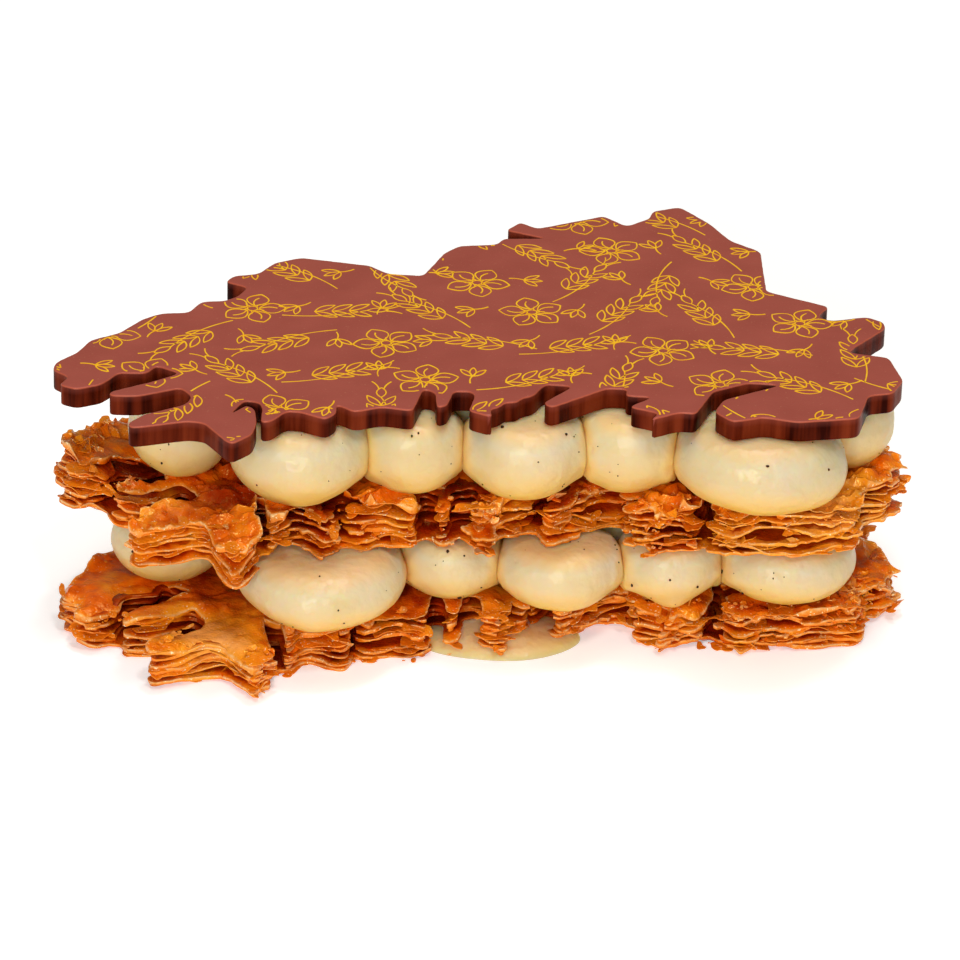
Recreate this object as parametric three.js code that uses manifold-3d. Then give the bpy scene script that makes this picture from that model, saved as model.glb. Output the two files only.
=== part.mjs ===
// A mille-feuille cut to the outline of a ragged coast, in millimetres, +Z up.
// From the bottom: a dab of cream, a puff pastry sheet, a layer of cream balls, a second sheet,
// a second layer of cream balls and a chocolate plate. The front of the cake faces -Y.
import * as THREE from 'three';
import { mergeVertices } from 'three/addons/utils/BufferGeometryUtils.js';
import Module from 'manifold-3d';

const wasm = await Module();
wasm.setup();

// Heights of the layers
const BOTTOM_PASTRY_HEIGHT = 7.6;
const LOWER_CREAM_HEIGHT = 11;
const MIDDLE_PASTRY_HEIGHT = 8.2;
const UPPER_CREAM_HEIGHT = 13.5;
const PLATE_THICKNESS = 3.7;

// Levels of the undersides
const LOWER_CREAM_LEVEL = BOTTOM_PASTRY_HEIGHT;
const MIDDLE_PASTRY_LEVEL = LOWER_CREAM_LEVEL + LOWER_CREAM_HEIGHT;
const UPPER_CREAM_LEVEL = MIDDLE_PASTRY_LEVEL + MIDDLE_PASTRY_HEIGHT;
const PLATE_LEVEL = UPPER_CREAM_LEVEL + UPPER_CREAM_HEIGHT;

// Gap between solids that press against each other
const GAP = 0.3;

// Where each pastry sheet lies under the plate, and how far back its two ends are bowed
const BOTTOM_SHEET = { x: -0.5, y: -2.5, turn: 5.5, bow: 0, seed: 41 };
const MIDDLE_SHEET = { x: 0.5, y: -0.5, turn: 0, bow: 3, seed: 17 };
const HALF_LENGTH = 70;

// The sides of a pastry sheet: bands of flakes that stand out or lie back
const PASTRY_BANDS = [-0.1, 0.5, -0.5, 0.4, -0.3];
const PASTRY_RAGGEDNESS = 0.45;
const LONGEST_PASTRY_EDGE = 7;

// Folds of the middle sheet: what lies in front of the line, seen along its heading, is turned down
const PRONG_FOLD = { x: -46.5, y: -34.6, heading: -8, width: 21.2, down: 9 };
const WEST_FOLD = { x: -57, y: -19, heading: -90, width: 32, down: -11 };
const FOLD_REACH = 24;
const FOLD_OVERLAP = 1;

// A cream ball is a squashed sphere, flat where it meets the layers above and below
const BALL_FLATTENING = 1.15;
const BALL_RINGS = 5;
const BALL_SIDES = 12;

// Cream balls along the rim: place and radius, front row from left to right, then round the back
const UPPER_BALLS = [
  [-49, -22, 8.8], [-29, -30, 11.4], [-10.6, -27, 8.6], [7.7, -27, 10.2], [25.2, -24, 8.8],
  [46.2, -27.5, 13.9], [60.5, -13, 9], [55, 1.5, 8], [39.5, 14.5, 9.2], [36, 32.5, 9.6],
  [19.5, 31.5, 9.4], [3.5, 22.5, 9], [-12.5, 7.5, 9.4], [-30.5, 11.5, 9.5], [-44.5, -4.5, 9],
];
const LOWER_BALLS = [
  [-51, -23, 9.4], [-25, -34.5, 13.9], [-3.8, -27, 8.6], [14.2, -29, 10.2], [32.4, -25.6, 8.8],
  [52, -23.5, 11.8], [52.5, -3.5, 8.4], [41, 13.5, 9], [35.5, 31.5, 9.4], [18, 30, 9.6],
  [2.5, 21.5, 9], [-13, 6.5, 9.2], [-31, 10.5, 9.6], [-45, -5.5, 9],
];

// The cream inside the rim of balls
const CORE_OUTLINE = [
  [-45, -16], [-28, -21], [-8, -19], [12, -19], [30, -17], [50, -14], [48, 2], [38, 12],
  [36, 30], [22, 32], [6, 22], [-10, 8], [-28, 9], [-42, -4],
];
const CORE_STEPS = 42;

// The dab of cream under the bottom sheet
const DAB = { x: 4, y: -29.5, width: 28, depth: 18, height: 3, sides: 24, rings: 4 };

// The outline seen from above, from the west end along the front, then back along the rear
const WEST_LOBE = [
  [-70, -23], [-67, -25.5], [-68.5, -28.5], [-65.5, -30], [-61.5, -28], [-59, -23.5],
  [-54.5, -23.5], [-53, -20.5], [-49, -23],
];
const MIDDLE_PRONG = [
  [-53.5, -26.5], [-60, -30.5], [-60, -32], [-55.5, -32], [-48.5, -28.5], [-46.5, -31.5],
];
const SOUTHWEST_PRONG = [
  [-47.5, -34.5], [-54, -38.5], [-56.5, -42], [-55.5, -43.5], [-46.5, -40.5], [-44, -41],
  [-40, -47.5], [-39, -48], [-36, -44.5],
];
const FORKED_CRACK = [
  [-35.6, -40.2], [-36, -35.5], [-37.5, -34], [-40, -37.5], [-38, -32.5], [-35.5, -33],
  [-34.9, -35], [-35, -40.2],
];
const PLAIN_SLOT = [[-36.5, -39.5], [-37, -33.5], [-34.5, -33.5]];
const WEST_FRONT = [
  [-33.3, -39.8], [-31, -36], [-29, -36], [-24.5, -38.5], [-22.8, -36], [-23, -33],
  [-20, -35.5], [-15.5, -33.5], [-10.5, -34.5],
];
const TEETH = [
  [-9, -26.5], [-7, -27.5], [-6.7, -33], [-5, -32.5], [-4, -27], [-1, -27], [-0.5, -28.5],
  [-1.5, -34], [2.5, -36], [2, -33], [3.5, -32.5], [4.5, -30.5], [6.5, -30.5], [7, -29],
];
const CREEK = [
  [9, -28], [11, -23.5], [15.5, -24], [10.5, -30.5], [12, -32], [21, -24.5], [24.5, -24.5],
];
const HOOK = [[24, -27], [28.5, -27.2], [24.5, -31], [29.5, -33], [28, -35.5]];
const ESTUARY = [
  [33, -32.5], [35.5, -33], [38.5, -24.5], [44.5, -21], [49.5, -21.5], [40, -27.5],
  [38.5, -32],
];
const SOUTHEAST_FOOT = [
  [41.5, -35.5], [46.5, -33.5], [52, -35], [62, -33], [64, -24.5], [68, -23.5], [70, -18.5],
  [68, -10], [61.5, -8.5],
];
const EAST_LOBE = [
  [62.5, -6.5], [68, 1], [68, 3.5], [65, 5.5], [59, 3.5], [57, 5], [57.5, 6.5], [59, 9],
  [48.5, 14.5],
];
const NORTHEAST_HUMP = [
  [48, 30.5], [43, 34.5], [39.5, 41.5], [35, 47.5], [34, 48], [29.5, 46], [29, 43],
  [25, 39.5], [21, 43.5], [9.5, 37.5], [6.5, 40], [4, 36.5],
];
const REAR_BAY = [
  [11, 33.5], [3.5, 33], [2.5, 30.5], [-4, 29.5], [-6.5, 26.5], [-10, 17], [-16, 17.5],
  [-19, 20.5],
];
const NORTHWEST_COAST = [
  [-31, 23], [-35.5, 20.5], [-38, 16], [-42, 15], [-43.5, 12.5], [-39.5, 10.5], [-41, 7],
  [-43, 5], [-47, 4.5], [-49, 0], [-53.5, -0.5], [-56.5, -3], [-60, -8.5], [-64.5, -11.5],
  [-66.5, -16.5], [-69.5, -20],
];

// The outline as one list; the pastry has a plain slot where the thin plate has a forked crack
function coast(crack) {
  return [
    ...WEST_LOBE, ...MIDDLE_PRONG, ...SOUTHWEST_PRONG, ...crack, ...WEST_FRONT, ...TEETH,
    ...CREEK, ...HOOK, ...ESTUARY, ...SOUTHEAST_FOOT, ...EAST_LOBE, ...NORTHEAST_HUMP,
    ...REAR_BAY, ...NORTHWEST_COAST,
  ].map(([x, y]) => new THREE.Vector2(x, y));
}

// Every corner cut back by up to the given length on both sides
function softened(points, length) {
  const soft = [];
  points.forEach((corner, index) => {
    const before = points[(index + points.length - 1) % points.length];
    const after = points[(index + 1) % points.length];
    for (const neighbour of [before, after]) {
      const reach = Math.min(length / corner.distanceTo(neighbour), 0.3);
      soft.push(corner.clone().lerp(neighbour, reach));
    }
  });
  return soft;
}

// The same stream of numbers between -1 and 1 for the same seed
function seededWobble(seed) {
  const multiplier = 16807;
  const modulus = 2147483647;
  let state = seed;
  return () => {
    state = (state * multiplier) % modulus;
    return (2 * state) / modulus - 1;
  };
}

// No edge longer than the given length
function subdivided(points, longest) {
  const fine = [];
  points.forEach((start, index) => {
    const end = points[(index + 1) % points.length];
    const pieces = Math.ceil(start.distanceTo(end) / longest);
    for (let piece = 0; piece < pieces; piece += 1) {
      fine.push(start.clone().lerp(end, piece / pieces));
    }
  });
  return fine;
}

// The outline moved outwards, by an amount that wanders from point to point
function frayed(points, outwards, raggedness, wobble) {
  return points.map((point, index) => {
    const before = points[(index + points.length - 1) % points.length];
    const after = points[(index + 1) % points.length];
    const along = after.clone().sub(before).normalize();
    const offset = outwards + raggedness * wobble();
    return new THREE.Vector2(point.x + along.y * offset, point.y - along.x * offset);
  });
}

function extruded(points, bottom, height) {
  const geometry = new THREE.ExtrudeGeometry(new THREE.Shape(points), {
    depth: height,
    bevelEnabled: false,
    curveSegments: 1,
  });
  return geometry.translate(0, 0, bottom);
}

// A closed geometry as a solid that can be joined and cut
function solid(geometry) {
  const bare = geometry.clone();
  bare.deleteAttribute('normal');
  bare.deleteAttribute('uv');
  const merged = mergeVertices(bare, 1e-4);
  const corners = merged.index.array;
  const triangles = [];
  for (let first = 0; first < corners.length; first += 3) {
    const [a, b, c] = corners.slice(first, first + 3);
    if (a !== b && b !== c && c !== a) triangles.push(a, b, c);
  }
  return new wasm.Manifold(new wasm.Mesh({
    numProp: 3,
    vertProperties: Float32Array.from(merged.attributes.position.array),
    triVerts: Uint32Array.from(triangles),
  }));
}

function geometryOf(body) {
  const mesh = body.getMesh();
  const geometry = new THREE.BufferGeometry();
  geometry.setAttribute('position', new THREE.BufferAttribute(mesh.vertProperties, 3));
  geometry.setIndex(new THREE.BufferAttribute(mesh.triVerts, 1));
  geometry.computeVertexNormals();
  return geometry;
}

function material(colour, roughness) {
  return new THREE.MeshStandardMaterial({ color: colour, roughness, metalness: 0 });
}

function node(name, geometry, colour, roughness) {
  const mesh = new THREE.Mesh(geometry, material(colour, roughness));
  mesh.name = name;
  return mesh;
}

// Chocolate plate
function chocolatePlate() {
  const outline = softened(coast(FORKED_CRACK), 0.5);
  const plate = node('chocolate_plate', extruded(outline, 0, PLATE_THICKNESS), 0x9a4a3e, 0.35);
  plate.position.z = PLATE_LEVEL;
  return plate;
}

// A pastry sheet as a pile of flat bands with ragged sides
function pastrySheet(height, sheet) {
  const wobble = seededWobble(sheet.seed);
  const outline = subdivided(coast(PLAIN_SLOT), LONGEST_PASTRY_EDGE);
  outline.forEach((point) => {
    point.y += sheet.bow * (point.x / HALF_LENGTH) ** 2;
  });
  const bandHeight = height / PASTRY_BANDS.length;
  return PASTRY_BANDS.map((outwards, index) => {
    const ragged = frayed(outline, outwards, PASTRY_RAGGEDNESS, wobble);
    return solid(extruded(ragged, index * bandHeight, bandHeight));
  }).reduce((pile, band) => pile.add(band));
}

// A box whose rear face stands on a fold, moved back by the given amount
function foldBox(fold, back) {
  const box = new THREE.BoxGeometry(fold.width, FOLD_REACH, FOLD_REACH);
  box.translate(0, back - FOLD_REACH / 2, 0);
  box.rotateZ(THREE.MathUtils.degToRad(fold.heading));
  return solid(box.translate(fold.x, fold.y, 0));
}

// The part of a sheet in front of a fold turned down about the middle of the sheet's height
function folded(sheet, height, fold) {
  const heading = THREE.MathUtils.degToRad(fold.heading);
  const flap = geometryOf(sheet.intersect(foldBox(fold, FOLD_OVERLAP)));
  flap.translate(-fold.x, -fold.y, -height / 2).rotateZ(-heading);
  flap.rotateX(THREE.MathUtils.degToRad(fold.down)).rotateZ(heading);
  flap.translate(fold.x, fold.y, height / 2);
  return sheet.subtract(foldBox(fold, 0)).add(solid(flap));
}

function placed(mesh, sheet, level) {
  mesh.position.set(sheet.x, sheet.y, level);
  mesh.rotation.z = THREE.MathUtils.degToRad(sheet.turn);
  return mesh;
}

function middlePastry() {
  let sheet = pastrySheet(MIDDLE_PASTRY_HEIGHT, MIDDLE_SHEET);
  for (const fold of [PRONG_FOLD, WEST_FOLD]) {
    sheet = folded(sheet, MIDDLE_PASTRY_HEIGHT, fold);
  }
  const mesh = node('pastry_middle', geometryOf(sheet), 0xc87a30, 0.45);
  return placed(mesh, MIDDLE_SHEET, MIDDLE_PASTRY_LEVEL);
}

// The dab is a low dome
function dabGeometry() {
  const profile = [new THREE.Vector2(0, 0), new THREE.Vector2(1, 0)];
  for (let ring = 1; ring < DAB.rings; ring += 1) {
    const angle = (ring / DAB.rings) * Math.PI / 2;
    profile.push(new THREE.Vector2(Math.cos(angle), Math.sin(angle)));
  }
  profile.push(new THREE.Vector2(0, 1));
  const dome = new THREE.LatheGeometry(profile, DAB.sides).rotateX(Math.PI / 2);
  return dome.scale(DAB.width / 2, DAB.depth / 2, DAB.height).translate(DAB.x, DAB.y, 0);
}

// The room that the dab takes in the bottom sheet, in the sheet's own place
function dabRoom() {
  const room = new THREE.SphereGeometry(1, DAB.sides, 2 * DAB.rings).rotateX(Math.PI / 2);
  room.scale(DAB.width / 2 + GAP, DAB.depth / 2 + GAP, DAB.height + GAP);
  room.translate(DAB.x - BOTTOM_SHEET.x, DAB.y - BOTTOM_SHEET.y, 0);
  return solid(room.rotateZ(-THREE.MathUtils.degToRad(BOTTOM_SHEET.turn)));
}

// The bottom sheet is pressed onto the dab
function bottomPastry() {
  const sheet = pastrySheet(BOTTOM_PASTRY_HEIGHT, BOTTOM_SHEET).subtract(dabRoom());
  const mesh = node('pastry_bottom', geometryOf(sheet), 0xc07028, 0.5);
  return placed(mesh, BOTTOM_SHEET, 0);
}

// A ball about its own middle; as a cutter it is wider and runs past both flat ends
function ballGeometry(radius, height, growth = 0) {
  const halfSphere = (height / 2) * BALL_FLATTENING;
  const lastAngle = Math.asin(1 / BALL_FLATTENING);
  const rim = [];
  for (let ring = 0; ring < BALL_RINGS; ring += 1) {
    const angle = lastAngle * ((2 * ring) / (BALL_RINGS - 1) - 1);
    const width = radius * Math.cos(angle) + growth;
    rim.push(new THREE.Vector2(width, halfSphere * Math.sin(angle)));
  }
  if (growth > 0) {
    rim.unshift(new THREE.Vector2(rim[0].x, -height));
    rim.push(new THREE.Vector2(rim[0].x, height));
  }
  const start = new THREE.Vector2(0, rim[0].y);
  const end = new THREE.Vector2(0, rim[rim.length - 1].y);
  return new THREE.LatheGeometry([start, ...rim, end], BALL_SIDES).rotateX(Math.PI / 2);
}

// What lies past the crease where a ball presses against its neighbour
function beyondCrease([x, y, radius], [otherX, otherY, otherRadius]) {
  const size = 60;
  const distance = Math.hypot(otherX - x, otherY - y);
  const crease = (distance ** 2 + radius ** 2 - otherRadius ** 2) / (2 * distance);
  const box = new THREE.BoxGeometry(size, size, size);
  box.translate(crease - GAP / 2 + size / 2, 0, 0);
  return solid(box.rotateZ(Math.atan2(otherY - y, otherX - x)));
}

function touching([x, y, radius], [otherX, otherY, otherRadius]) {
  return Math.hypot(otherX - x, otherY - y) < radius + otherRadius + GAP;
}

function creamLayer(layerName, balls, level, height) {
  const layer = new THREE.Group();
  layer.position.z = level + height / 2;
  balls.forEach((ball, index) => {
    let body = solid(ballGeometry(ball[2], height));
    for (const other of balls) {
      if (other !== ball && touching(ball, other)) {
        body = body.subtract(beyondCrease(ball, other));
      }
    }
    const name = `${layerName}_ball_${String(index + 1).padStart(2, '0')}`;
    const mesh = node(name, geometryOf(body), 0xecd9a8, 0.4);
    mesh.position.set(ball[0], ball[1], 0);
    layer.add(mesh);
  });
  layer.add(creamCore(`${layerName}_core`, balls, height));
  return layer;
}

// The filling inside the rim of balls
function creamCore(name, balls, height) {
  const corners = CORE_OUTLINE.map(([x, y]) => new THREE.Vector3(x, y, 0));
  const curve = new THREE.CatmullRomCurve3(corners, true);
  const outline = curve.getPoints(CORE_STEPS).slice(0, -1);
  let core = solid(extruded(outline, -height / 2, height));
  for (const [x, y, radius] of balls) {
    const cutter = ballGeometry(radius, height, GAP).translate(x, y, 0);
    core = core.subtract(solid(cutter));
  }
  return node(name, geometryOf(core), 0xe6cf98, 0.45);
}

const cake = new THREE.Group();
cake.add(node('cream_dab', dabGeometry(), 0xe2c890, 0.4));
cake.add(bottomPastry());
cake.add(creamLayer('lower_cream', LOWER_BALLS, LOWER_CREAM_LEVEL, LOWER_CREAM_HEIGHT));
cake.add(middlePastry());
cake.add(creamLayer('upper_cream', UPPER_BALLS, UPPER_CREAM_LEVEL, UPPER_CREAM_HEIGHT));
cake.add(chocolatePlate());

// The origin is under the middle of the whole cake
cake.updateMatrixWorld(true);
const middle = new THREE.Box3().setFromObject(cake, true).getCenter(new THREE.Vector3());
cake.position.set(-middle.x, -middle.y, 0);

const milleFeuille = new THREE.Group();
milleFeuille.add(cake);

export default milleFeuille;
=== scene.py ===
"""A mille-feuille with a ragged outline: two flaky pastry sheets, two layers of piped vanilla cream,
a dab of cream underneath and a chocolate plate with a line print on top."""

import itertools
import math

import bpy
import numpy as np
from mathutils import Matrix, Vector
from mathutils.geometry import delaunay_2d_cdt
from mathutils.kdtree import KDTree


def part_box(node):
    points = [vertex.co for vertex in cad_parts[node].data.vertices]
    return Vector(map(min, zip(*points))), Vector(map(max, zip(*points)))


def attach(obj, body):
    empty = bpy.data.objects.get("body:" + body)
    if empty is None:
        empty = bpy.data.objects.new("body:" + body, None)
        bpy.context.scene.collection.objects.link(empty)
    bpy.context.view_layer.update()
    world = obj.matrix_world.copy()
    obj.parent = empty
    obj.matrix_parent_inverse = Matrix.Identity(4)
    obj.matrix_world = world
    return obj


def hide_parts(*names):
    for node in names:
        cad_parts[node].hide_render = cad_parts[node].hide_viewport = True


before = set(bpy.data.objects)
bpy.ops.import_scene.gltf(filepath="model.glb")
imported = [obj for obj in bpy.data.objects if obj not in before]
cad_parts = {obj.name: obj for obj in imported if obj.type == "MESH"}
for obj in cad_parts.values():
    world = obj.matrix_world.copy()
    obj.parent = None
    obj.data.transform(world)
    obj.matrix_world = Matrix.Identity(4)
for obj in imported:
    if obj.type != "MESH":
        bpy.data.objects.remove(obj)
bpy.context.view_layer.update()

# Lengths are in millimetres, unless a name says metres. Pieces are made in metres.
MM = 0.001
BODY = "root"

# The camera stands where the photograph's perspective puts it, and looks along +Y and down
CAMERA_PLACE = (0.11, -855.25, 455.10)
CAMERA_PITCH = math.radians(27.217)
CAMERA_ROLL = math.radians(1.545)
CAMERA_LENS = 212.7

# Soft studio light: name, place, aim, side lengths and power in watts
LIGHTS = [
    ("overhead_softbox", (0, 150, 1600), (0, 0, 20), (900, 900), 6.2),
    ("overhead_spark", (120, 260, 1600), (0, 0, 20), (220, 220), 5),
    ("front_softbox", (-250, -1560, 600), (0, 0, 20), (620, 420), 15),
    ("front_spark", (220, -700, 1400), (0, 0, 20), (220, 220), 5),
]
FLOOR_SIZE = 6.0  # metres
FLOOR_GLOW = 0.34
WORLD_COLOUR = (1, 0.82, 0.52)
WORLD_BRIGHTNESS = 0.26

# The outline's plan has its own origin; the dab lies at this place in it
DAB = {"x": 4, "y": -29.5, "width": 28, "depth": 18, "height": 3}

# The thin plate has a forked crack, and the pastry has a plain slot in its place
CRACK_LOW = (-40.5, -41.0)
CRACK_HIGH = (-34.2, -32.0)
PLAIN_SLOT = [(-36.5, -39.5), (-37, -33.5), (-34.5, -33.5)]

# How the pastry sheets lie under the plate, bow and fold. Angles are in degrees
HALF_LENGTH = 70
PRONG_FOLD = {"x": -46.5, "y": -34.6, "heading": -8, "width": 21.2, "down": 9}
WEST_FOLD = {"x": -57, "y": -19, "heading": -90, "width": 32, "down": -11}

# Voids between the leaves: place, share of the height, reach and opening
BOTTOM_VOIDS = [
    (-45.4, -40.8, 0.4, 5, 0.8), (-16.3, -34, 0.5, 4.5, 1.2), (43, -34.5, 0.55, 6, 1.0),
    (25.5, -32, 0.5, 4, 0.9), (-60, -30, 0.5, 5, 1.2), (-50, -29, 0.5, 5, 1.3),
]
MIDDLE_VOIDS = [
    (-29, -36.5, 0.2, 4, 1.2), (-16.8, -34.1, 0.25, 4.5, 1.1), (22, -25, 0.5, 5, 1.5),
    (31, -31, 0.3, 4, 1.0), (48.5, -34.5, 0.45, 6.5, 1.5), (60, -26, 0.4, 7, 0.9),
]

# Narrow gaps torn in from the side: mouth, inner end and width
BOTTOM_GAPS = [
    ((-22.3, -39), (-22.6, -28.5), 1.0), ((4.5, -35), (4.2, -27.5), 0.9),
    ((7.4, -33), (7.0, -27), 0.9), ((39, -30), (39, -21), 2.2),
]
MIDDLE_GAPS = [((-23.2, -39), (-22.4, -29), 1.0), ((38.6, -30), (38.6, -21), 1.6)]

BOTTOM_SHEET = {
    "x": -0.5, "y": -2.5, "turn": 5.5, "bow": 0, "leaves": 7, "seed": 41,
    "roughness": 1.1, "wrinkles": 0.3, "folds": [], "voids": BOTTOM_VOIDS, "gaps": BOTTOM_GAPS,
    "calm": [(-4, -36, 8), (-48, -44, 12), (-64, -22, 8), (-54, -29, 10)],
    "crumbly": [(58, -27, 8, 60), (43, -34, 8, 40), (-28, -40, 7, 20), (24, -33, 7, 15)],
}
MIDDLE_SHEET = {
    "x": 0.5, "y": -0.5, "turn": 0, "bow": 3, "leaves": 7, "seed": 17,
    "roughness": 1.25, "wrinkles": 1, "folds": [PRONG_FOLD, WEST_FOLD], "voids": MIDDLE_VOIDS,
    "gaps": MIDDLE_GAPS,
    "calm": [(-50, -40, 9)],
    "crumbly": [
        (-67, -17, 9, 50), (-3, -33, 9, 50), (12, -31, 7, 20), (30, -31, 8, 20), (50, -33, 12, 70),
    ],
}

# Cream balls round the rim: place and radius. Without the flat ends they would be taller
BALL_FLATTENING = 1.15
UPPER_BALLS = [
    (-49, -22, 8.8), (-29, -30, 11.4), (-10.6, -27, 8.6), (7.7, -27, 10.2), (25.2, -24, 8.8),
    (46.2, -27.5, 13.9), (60.5, -13, 9), (55, 1.5, 8), (39.5, 14.5, 9.2), (36, 32.5, 9.6),
    (19.5, 31.5, 9.4), (3.5, 22.5, 9), (-12.5, 7.5, 9.4), (-30.5, 11.5, 9.5), (-44.5, -4.5, 9),
]
LOWER_BALLS = [
    (-51, -23, 9.4), (-25, -34.5, 13.9), (-3.8, -27, 8.6), (14.2, -29, 10.2), (32.4, -25.6, 8.8),
    (52, -23.5, 11.8), (52.5, -3.5, 8.4), (41, 13.5, 9), (35.5, 31.5, 9.4), (18, 30, 9.6),
    (2.5, 21.5, 9), (-13, 6.5, 9.2), (-31, 10.5, 9.6), (-45, -5.5, 9),
]

# Lobes that sag or bulge out of a ball, by its number: azimuth, elevation, spread and push
UPPER_LOBES = {
    6: [(-20, -20, 28, 1.6), (-84, -55, 22, 1.5)], 4: [(-60, 10, 25, 0.5)], 1: [(-80, -50, 30, 0.6)],
    2: [(-92, -55, 22, 0.8)],
}
LOWER_LOBES = {
    2: [(-95, -42, 32, 1.5), (-84, -62, 14, 1.4)], 5: [(-84, -50, 18, 2.4)], 4: [(-80, -45, 25, 0.6)],
}


def hashed(index, seed):
    """A number from -1 to 1 for each row of whole numbers, always the same for the same seed."""
    mixed = np.full(len(index), seed * 7919 + 17, np.uint32)
    for column, prime in zip(index.T, (73856093, 19349663, 83492791)):
        mixed ^= (column.astype(np.int64) * prime % 4294967296).astype(np.uint32)
        mixed ^= mixed >> np.uint32(13)
        mixed *= np.uint32(1274126177)
        mixed ^= mixed >> np.uint32(16)
    return mixed / 2147483648.0 - 1


def chance(seed, *index):
    """One number from -1 to 1 for a few whole numbers."""
    return hashed(np.array([index]), seed)[0]


def noise(points, wavelength, seed):
    """Smooth noise from -1 to 1 at points in a plane or in space."""
    scaled = np.asarray(points, float) / wavelength
    low = np.floor(scaled).astype(np.int64)
    part = scaled - low
    part = part * part * (3 - 2 * part)
    total = np.zeros(len(scaled))
    for corner in itertools.product((0, 1), repeat=scaled.shape[1]):
        weight = np.where(corner, part, 1 - part).prod(axis=1)
        total += weight * hashed(low + corner, seed)
    return total


def waves(points, rows, seed):
    """Noise of several sizes added up: amount, wavelength and step of the seed for each."""
    return sum(amount * noise(points, size, seed + step) for amount, size, step in rows)


def smooth_step(value):
    share = np.clip(value, 0, 1)
    return share * share * (3 - 2 * share)


def smooth_minimum(a, b, blend):
    return np.minimum(a, b) - np.maximum(blend - np.abs(a - b), 0) ** 2 / (4 * blend)


def nearness(points, x, y, reach):
    """1 at a place of the plan, falling off over the given reach."""
    return np.exp(-((points - (x, y)) ** 2).sum(axis=1) / reach ** 2)


def turns(count):
    """Angles evenly round a circle."""
    return np.arange(count) * 2 * math.pi / count


def turned(points, degrees):
    """Plan points turned anticlockwise about the origin."""
    angle = math.radians(degrees)
    turn = np.array([[math.cos(angle), math.sin(angle)], [-math.sin(angle), math.cos(angle)]])
    return np.asarray(points) @ turn


def depth_inside(points, outline):
    """How far inside a closed outline each point lies; negative outside it."""
    nearest = np.full(len(points), np.inf)
    inside = np.zeros(len(points), bool)
    for start, end in zip(outline, np.roll(outline, -1, axis=0)):
        step = end - start
        away = points - start
        share = np.clip(away @ step / (step @ step), 0, 1)
        nearest = np.minimum(nearest, ((away - share[:, None] * step) ** 2).sum(axis=1))
        if step[1] != 0:
            spans = (start[1] > points[:, 1]) != (end[1] > points[:, 1])
            inside ^= spans & (away[:, 0] < away[:, 1] * step[0] / step[1])
    return np.where(inside, 1, -1) * np.sqrt(nearest)


class Field:
    """Values on a square grid over the plan, read smoothly between its points."""

    def __init__(self, xs, ys, values):
        self.xs = xs
        self.ys = ys
        self.step = xs[1] - xs[0]
        self.values = values.reshape(len(ys), len(xs))

    def like(self, values):
        """A field of other values on the same grid."""
        return Field(self.xs, self.ys, values)

    def at(self, points):
        """The field at any points of the plan."""
        column = np.clip((points[:, 0] - self.xs[0]) / self.step, 0, len(self.xs) - 1.001)
        row = np.clip((points[:, 1] - self.ys[0]) / self.step, 0, len(self.ys) - 1.001)
        i = column.astype(int)
        j = row.astype(int)
        across = column - i
        up = row - j
        values = self.values
        below = values[j, i] * (1 - across) + values[j, i + 1] * across
        above = values[j + 1, i] * (1 - across) + values[j + 1, i + 1] * across
        return below * (1 - up) + above * up

    def zero_line(self):
        """The line where the field is zero: its points, and the pairs of points it joins."""
        values = self.values
        inside = values > 0
        across = np.full((len(self.ys), len(self.xs) - 1), -1)
        upward = np.full((len(self.ys) - 1, len(self.xs)), -1)
        j, i = np.nonzero(inside[:, 1:] != inside[:, :-1])
        across[j, i] = np.arange(len(j))
        share = values[j, i] / (values[j, i] - values[j, i + 1])
        points = [np.stack([self.xs[i] + share * self.step, self.ys[j]], axis=1)]
        count = len(j)
        j, i = np.nonzero(inside[1:] != inside[:-1])
        upward[j, i] = count + np.arange(len(j))
        share = values[j, i] / (values[j, i] - values[j + 1, i])
        points.append(np.stack([self.xs[i], self.ys[j] + share * self.step], axis=1))
        cells = np.stack([across[:-1], across[1:], upward[:, :-1], upward[:, 1:]], axis=-1)
        crossings = (cells >= 0).sum(axis=-1)
        plain = cells[crossings == 2]
        edges = [plain[plain >= 0].reshape(-1, 2)]
        corner_inside = inside[:-1, :-1]
        for chosen, order in ((corner_inside, [0, 2, 1, 3]), (~corner_inside, [0, 3, 1, 2])):
            edges.append(cells[(crossings == 4) & chosen][:, order].reshape(-1, 2))
        return np.concatenate(points), np.concatenate(edges)


def grid(low, high, step):
    """The lines of a square grid between two corners of the plan, and the points on them."""
    xs = np.arange(low[0], high[0], step)
    ys = np.arange(low[1], high[1], step)
    return xs, ys, np.stack(np.meshgrid(xs, ys), axis=-1).reshape(-1, 2)


def depth_field(outline, step, margin=2):
    """How far inside an outline the points of a grid lie, and the grid's points."""
    xs, ys, points = grid(outline.min(axis=0) - margin, outline.max(axis=0) + margin, step)
    return Field(xs, ys, depth_inside(points, outline)), points


def lattice(around, step, seed):
    """A square lattice over the box of some plan points, each point a little off its place."""
    points = grid(around.min(axis=0), around.max(axis=0), step)[2]
    cells = np.round(points / step).astype(np.int64)
    offset = np.stack([hashed(cells, seed), hashed(cells, seed + 1)], axis=1)
    return points + 0.25 * step * offset


def triangulated(points, edges, is_inside):
    """Triangles over the plan between fixed edges, where is_inside says so of their middles."""
    plan, _, triangles, *_ = delaunay_2d_cdt([Vector(p) for p in points], edges, [], 0, 1e-5)
    plan = np.array([tuple(p) for p in plan])
    triangles = np.array(triangles)
    return plan, triangles[is_inside(plan[triangles].mean(axis=1))]


def filled_outline(rim, *inner):
    """Points and triangles inside a closed outline, with rows of inner points."""
    count = len(rim)
    edges = [(index, (index + 1) % count) for index in range(count)]
    points = np.concatenate([rim, *inner])
    return triangulated(points, edges, lambda middles: depth_inside(middles, rim) > 0)


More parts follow.
